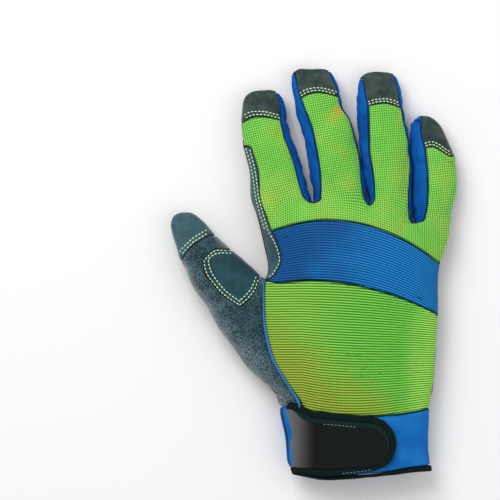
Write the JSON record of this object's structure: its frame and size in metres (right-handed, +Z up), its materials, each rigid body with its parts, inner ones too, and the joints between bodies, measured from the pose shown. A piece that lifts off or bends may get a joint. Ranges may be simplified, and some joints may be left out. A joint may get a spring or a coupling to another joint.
{
  "type": "fishing glove",
  "caption": "Right-hand full-finger fishing glove of knit and synthetic leather with knuckle band, stretch cuff and wrist strap, lying palm down.",
  "frame": {"origin": "on the flat of the palm, where the glove rests", "axes": "+Y from the wrist to the fingertips, +Z up out of the back of the hand, -X towards the thumb"},
  "size_m": [0.1678, 0.2409, 0.0269],
  "materials": {
    "finger_back_panel": "matte ribbed and grid knit",
    "knuckle_band": "matte ribbed knit",
    "hand_back_panel": "matte ribbed and grid knit",
    "index_side_patch": "napped synthetic suede",
    "fourchette_index_middle": "smooth stretch cloth",
    "fourchette_middle_ring": "smooth stretch cloth",
    "fourchette_ring_little": "smooth stretch cloth",
    "index_tip_cap": "napped synthetic suede",
    "middle_tip_cap": "napped synthetic suede",
    "ring_tip_cap": "napped synthetic suede",
    "little_tip_cap": "napped synthetic suede",
    "palm_panel": "fine-textured synthetic leather",
    "heel_panel": "napped cloth",
    "outer_palm_patch": "fine-textured synthetic leather",
    "thumb_back_panel": "fuzzy terry",
    "thumb_crotch_patch": "napped synthetic suede",
    "thumb_tip_cap": "napped synthetic suede",
    "thumb_palm_panel": "fine-textured synthetic leather",
    "wrist_cuff": "smooth stretch cloth",
    "cuff_binding": "woven binding",
    "wrist_strap": "smooth satin",
    "strap_binding": "woven binding",
    "side_piping": "smooth stretch cloth"
  },
  "bodies": {
    "root": {"finger_back_panel": "finger_back_panel", "knuckle_band": "knuckle_band", "hand_back_panel": "hand_back_panel", "index_side_patch": "index_side_patch", "fourchette_index_middle": "fourchette_index_middle", "fourchette_middle_ring": "fourchette_middle_ring", "fourchette_ring_little": "fourchette_ring_little", "index_tip_cap": "index_tip_cap", "middle_tip_cap": "middle_tip_cap", "ring_tip_cap": "ring_tip_cap", "little_tip_cap": "little_tip_cap", "palm_panel": "palm_panel", "heel_panel": "heel_panel", "outer_palm_patch": "outer_palm_patch", "thumb_back_panel": "thumb_back_panel", "thumb_crotch_patch": "thumb_crotch_patch", "thumb_tip_cap": "thumb_tip_cap", "thumb_palm_panel": "thumb_palm_panel", "wrist_cuff": "wrist_cuff", "cuff_binding": "cuff_binding", "wrist_strap": "wrist_strap", "strap_binding": "strap_binding", "side_piping": "side_piping"}
  },
  "joints": []
}
